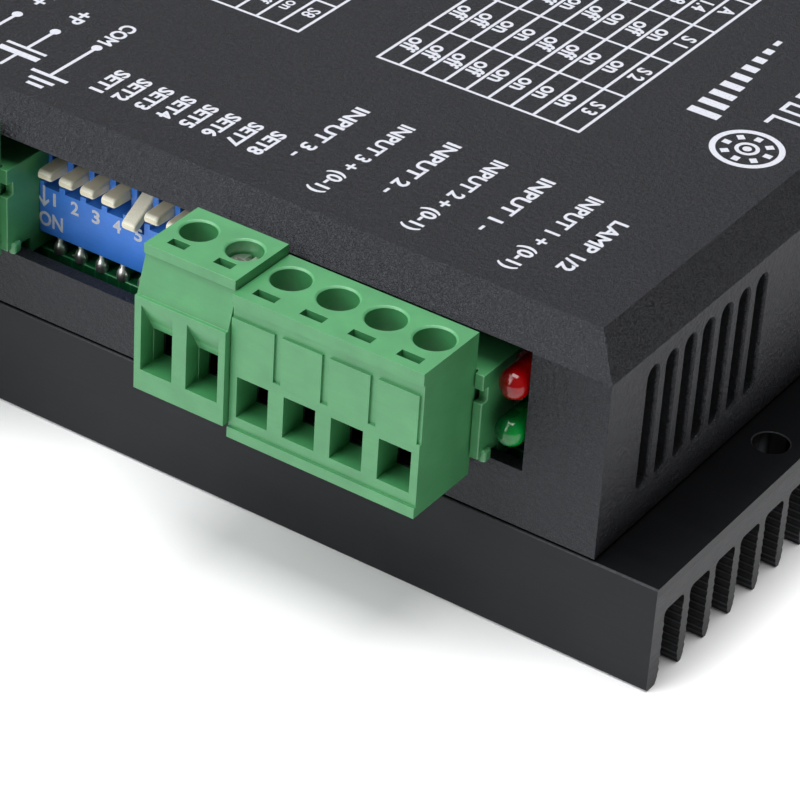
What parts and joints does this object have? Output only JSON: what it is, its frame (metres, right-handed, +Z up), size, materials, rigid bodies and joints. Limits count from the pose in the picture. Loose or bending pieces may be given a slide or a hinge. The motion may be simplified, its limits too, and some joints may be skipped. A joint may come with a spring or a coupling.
{
  "type": "stepper driver module",
  "caption": "Low black box with a finned metal base, vented cover, green pull-out terminal plugs along one side, a blue switch block and two small lamps.",
  "frame": {"origin": "centre of the surface that the fins rest on", "axes": "+X along the connector side, -Y is the connector side, +Z up"},
  "size_m": [0.118, 0.0859, 0.0332],
  "materials": {
    "anodised_metal": "black anodised, satin",
    "shell_plastic": "moulded, fine leather grain",
    "board_laminate": "green solder mask",
    "switch_blue": "moulded, satin",
    "lever_cream": "moulded",
    "terminal_green": "moulded, satin",
    "plated_steel": "nickel plated",
    "red_lens": "clear tinted resin",
    "green_lens": "clear tinted resin",
    "capacitor_sleeve": "shrunk sleeve",
    "chip_package": "moulded resin",
    "pad_rubber": "soft pad"
  },
  "bodies": {
    "housing": {"heatsink": "anodised_metal", "cover": "shell_plastic", "circuit_board": "board_laminate", "dip_switch_body": "switch_blue", "signal_header": "terminal_green", "power_header": "terminal_green", "led_red": "red_lens", "led_green": "green_lens", "capacitor_1": "capacitor_sleeve", "capacitor_2": "capacitor_sleeve", "microcontroller": "chip_package", "power_bridge_1": "chip_package", "power_bridge_2": "chip_package", "thermal_pad": "pad_rubber", "standoff_1": "plated_steel", "standoff_2": "plated_steel", "standoff_3": "plated_steel", "standoff_4": "plated_steel", "board_screw_1": "plated_steel", "board_screw_2": "plated_steel", "board_screw_3": "plated_steel", "board_screw_4": "plated_steel", "cover_screw_1": "plated_steel", "cover_screw_2": "plated_steel"},
    "signal_plug_2way": {"signal_plug_2way": "terminal_green"},
    "signal_plug_4way": {"signal_plug_4way": "terminal_green"},
    "power_plug": {"power_plug": "terminal_green"},
    "dip_lever_1": {"dip_lever_1": "lever_cream"},
    "dip_lever_2": {"dip_lever_2": "lever_cream"},
    "dip_lever_3": {"dip_lever_3": "lever_cream"},
    "dip_lever_4": {"dip_lever_4": "lever_cream"},
    "dip_lever_5": {"dip_lever_5": "lever_cream"},
    "dip_lever_6": {"dip_lever_6": "lever_cream"},
    "dip_lever_7": {"dip_lever_7": "lever_cream"},
    "dip_lever_8": {"dip_lever_8": "lever_cream"},
    "signal_screw_1": {"signal_screw_1": "plated_steel"},
    "signal_clamp_1": {"signal_clamp_1": "plated_steel"},
    "signal_screw_2": {"signal_screw_2": "plated_steel"},
    "signal_clamp_2": {"signal_clamp_2": "plated_steel"},
    "signal_screw_3": {"signal_screw_3": "plated_steel"},
    "signal_clamp_3": {"signal_clamp_3": "plated_steel"},
    "signal_screw_4": {"signal_screw_4": "plated_steel"},
    "signal_clamp_4": {"signal_clamp_4": "plated_steel"},
    "signal_screw_5": {"signal_screw_5": "plated_steel"},
    "signal_clamp_5": {"signal_clamp_5": "plated_steel"},
    "signal_screw_6": {"signal_screw_6": "plated_steel"},
    "signal_clamp_6": {"signal_clamp_6": "plated_steel"},
    "power_screw_1": {"power_screw_1": "plated_steel"},
    "power_clamp_1": {"power_clamp_1": "plated_steel"},
    "power_screw_2": {"power_screw_2": "plated_steel"},
    "power_clamp_2": {"power_clamp_2": "plated_steel"},
    "power_screw_3": {"power_screw_3": "plated_steel"},
    "power_clamp_3": {"power_clamp_3": "plated_steel"},
    "power_screw_4": {"power_screw_4": "plated_steel"},
    "power_clamp_4": {"power_clamp_4": "plated_steel"},
    "power_screw_5": {"power_screw_5": "plated_steel"},
    "power_clamp_5": {"power_clamp_5": "plated_steel"},
    "power_screw_6": {"power_screw_6": "plated_steel"},
    "power_clamp_6": {"power_clamp_6": "plated_steel"}
  },
  "joints": [
    {"name": "dip_lever_1_tilt", "type": "hinge", "parent": "housing", "child": "dip_lever_1", "pos_m": [-0.01157, -0.03145, 0.0248], "axis": [1, 0, 0], "range_deg": [0, 30]},
    {"name": "dip_lever_2_tilt", "type": "hinge", "parent": "housing", "child": "dip_lever_2", "pos_m": [-0.00903, -0.03145, 0.0248], "axis": [1, 0, 0], "range_deg": [0, 30]},
    {"name": "dip_lever_3_tilt", "type": "hinge", "parent": "housing", "child": "dip_lever_3", "pos_m": [-0.00649, -0.03145, 0.0248], "axis": [1, 0, 0], "range_deg": [0, 30]},
    {"name": "dip_lever_4_tilt", "type": "hinge", "parent": "housing", "child": "dip_lever_4", "pos_m": [-0.00395, -0.03145, 0.0248], "axis": [1, 0, 0], "range_deg": [0, 30]},
    {"name": "dip_lever_5_tilt", "type": "hinge", "parent": "housing", "child": "dip_lever_5", "pos_m": [-0.00141, -0.03145, 0.0248], "axis": [1, 0, 0], "range_deg": [-30, 0]},
    {"name": "dip_lever_6_tilt", "type": "hinge", "parent": "housing", "child": "dip_lever_6", "pos_m": [0.00113, -0.03145, 0.0248], "axis": [1, 0, 0], "range_deg": [0, 30]},
    {"name": "dip_lever_7_tilt", "type": "hinge", "parent": "housing", "child": "dip_lever_7", "pos_m": [0.00367, -0.03145, 0.0248], "axis": [1, 0, 0], "range_deg": [0, 30]},
    {"name": "dip_lever_8_tilt", "type": "hinge", "parent": "housing", "child": "dip_lever_8", "pos_m": [0.00621, -0.03145, 0.0248], "axis": [1, 0, 0], "range_deg": [0, 30]},
    {"name": "signal_plug_2way_pull", "type": "slide", "parent": "housing", "child": "signal_plug_2way", "axis": [0, -1, 0], "range_m": [0, 0.01]},
    {"name": "signal_plug_4way_pull", "type": "slide", "parent": "housing", "child": "signal_plug_4way", "axis": [0, -1, 0], "range_m": [0, 0.01]},
    {"name": "power_plug_pull", "type": "slide", "parent": "housing", "child": "power_plug", "axis": [0, -1, 0], "range_m": [0, 0.01]},
    {"name": "signal_clamp_1_lift", "type": "slide", "parent": "signal_plug_2way", "child": "signal_clamp_1", "axis": [0, 0, 1], "range_m": [0, 0.0023]},
    {"name": "signal_screw_1_turn", "type": "hinge", "parent": "signal_clamp_1", "child": "signal_screw_1", "pos_m": [0.01169, -0.0422, 0.026], "axis": [0, 0, 1], "range_deg": [0, 1656]},
    {"name": "signal_clamp_2_lift", "type": "slide", "parent": "signal_plug_2way", "child": "signal_clamp_2", "axis": [0, 0, 1], "range_m": [-0.0023, 0]},
    {"name": "signal_screw_2_turn", "type": "hinge", "parent": "signal_clamp_2", "child": "signal_screw_2", "pos_m": [0.01677, -0.0422, 0.026], "axis": [0, 0, 1], "range_deg": [-1656, 0]},
    {"name": "signal_clamp_3_lift", "type": "slide", "parent": "signal_plug_4way", "child": "signal_clamp_3", "axis": [0, 0, 1], "range_m": [0, 0.0023]},
    {"name": "signal_screw_3_turn", "type": "hinge", "parent": "signal_clamp_3", "child": "signal_screw_3", "pos_m": [0.02185, -0.0422, 0.026], "axis": [0, 0, 1], "range_deg": [0, 1656]},
    {"name": "signal_clamp_4_lift", "type": "slide", "parent": "signal_plug_4way", "child": "signal_clamp_4", "axis": [0, 0, 1], "range_m": [0, 0.0023]},
    {"name": "signal_screw_4_turn", "type": "hinge", "parent": "signal_clamp_4", "child": "signal_screw_4", "pos_m": [0.02693, -0.0422, 0.026], "axis": [0, 0, 1], "range_deg": [0, 1656]},
    {"name": "signal_clamp_5_lift", "type": "slide", "parent": "signal_plug_4way", "child": "signal_clamp_5", "axis": [0, 0, 1], "range_m": [0, 0.0023]},
    {"name": "signal_screw_5_turn", "type": "hinge", "parent": "signal_clamp_5", "child": "signal_screw_5", "pos_m": [0.03201, -0.0422, 0.026], "axis": [0, 0, 1], "range_deg": [0, 1656]},
    {"name": "signal_clamp_6_lift", "type": "slide", "parent": "signal_plug_4way", "child": "signal_clamp_6", "axis": [0, 0, 1], "range_m": [0, 0.0023]},
    {"name": "signal_screw_6_turn", "type": "hinge", "parent": "signal_clamp_6", "child": "signal_screw_6", "pos_m": [0.03709, -0.0422, 0.026], "axis": [0, 0, 1], "range_deg": [0, 1656]},
    {"name": "power_clamp_1_lift", "type": "slide", "parent": "power_plug", "child": "power_clamp_1", "axis": [0, 0, 1], "range_m": [0, 0.0023]},
    {"name": "power_screw_1_turn", "type": "hinge", "parent": "power_clamp_1", "child": "power_screw_1", "pos_m": [-0.04245, -0.0413, 0.026], "axis": [0, 0, 1], "range_deg": [0, 1656]},
    {"name": "power_clamp_2_lift", "type": "slide", "parent": "power_plug", "child": "power_clamp_2", "axis": [0, 0, 1], "range_m": [0, 0.0023]},
    {"name": "power_screw_2_turn", "type": "hinge", "parent": "power_clamp_2", "child": "power_screw_2", "pos_m": [-0.03737, -0.0413, 0.026], "axis": [0, 0, 1], "range_deg": [0, 1656]},
    {"name": "power_clamp_3_lift", "type": "slide", "parent": "power_plug", "child": "power_clamp_3", "axis": [0, 0, 1], "range_m": [0, 0.0023]},
    {"name": "power_screw_3_turn", "type": "hinge", "parent": "power_clamp_3", "child": "power_screw_3", "pos_m": [-0.03229, -0.0413, 0.026], "axis": [0, 0, 1], "range_deg": [0, 1656]},
    {"name": "power_clamp_4_lift", "type": "slide", "parent": "power_plug", "child": "power_clamp_4", "axis": [0, 0, 1], "range_m": [0, 0.0023]},
    {"name": "power_screw_4_turn", "type": "hinge", "parent": "power_clamp_4", "child": "power_screw_4", "pos_m": [-0.02721, -0.0413, 0.026], "axis": [0, 0, 1], "range_deg": [0, 1656]},
    {"name": "power_clamp_5_lift", "type": "slide", "parent": "power_plug", "child": "power_clamp_5", "axis": [0, 0, 1], "range_m": [0, 0.0023]},
    {"name": "power_screw_5_turn", "type": "hinge", "parent": "power_clamp_5", "child": "power_screw_5", "pos_m": [-0.02213, -0.0413, 0.026], "axis": [0, 0, 1], "range_deg": [0, 1656]},
    {"name": "power_clamp_6_lift", "type": "slide", "parent": "power_plug", "child": "power_clamp_6", "axis": [0, 0, 1], "range_m": [0, 0.0023]},
    {"name": "power_screw_6_turn", "type": "hinge", "parent": "power_clamp_6", "child": "power_screw_6", "pos_m": [-0.01705, -0.0413, 0.026], "axis": [0, 0, 1], "range_deg": [0, 1656]}
  ],
  "couplings": [
    {"joint": "signal_screw_1_turn", "follows": "signal_clamp_1_lift", "rad_per_m": 12566},
    {"joint": "signal_screw_2_turn", "follows": "signal_clamp_2_lift", "rad_per_m": 12566},
    {"joint": "signal_screw_3_turn", "follows": "signal_clamp_3_lift", "rad_per_m": 12566},
    {"joint": "signal_screw_4_turn", "follows": "signal_clamp_4_lift", "rad_per_m": 12566},
    {"joint": "signal_screw_5_turn", "follows": "signal_clamp_5_lift", "rad_per_m": 12566},
    {"joint": "signal_screw_6_turn", "follows": "signal_clamp_6_lift", "rad_per_m": 12566},
    {"joint": "power_screw_1_turn", "follows": "power_clamp_1_lift", "rad_per_m": 12566},
    {"joint": "power_screw_2_turn", "follows": "power_clamp_2_lift", "rad_per_m": 12566},
    {"joint": "power_screw_3_turn", "follows": "power_clamp_3_lift", "rad_per_m": 12566},
    {"joint": "power_screw_4_turn", "follows": "power_clamp_4_lift", "rad_per_m": 12566},
    {"joint": "power_screw_5_turn", "follows": "power_clamp_5_lift", "rad_per_m": 12566},
    {"joint": "power_screw_6_turn", "follows": "power_clamp_6_lift", "rad_per_m": 12566}
  ]
}
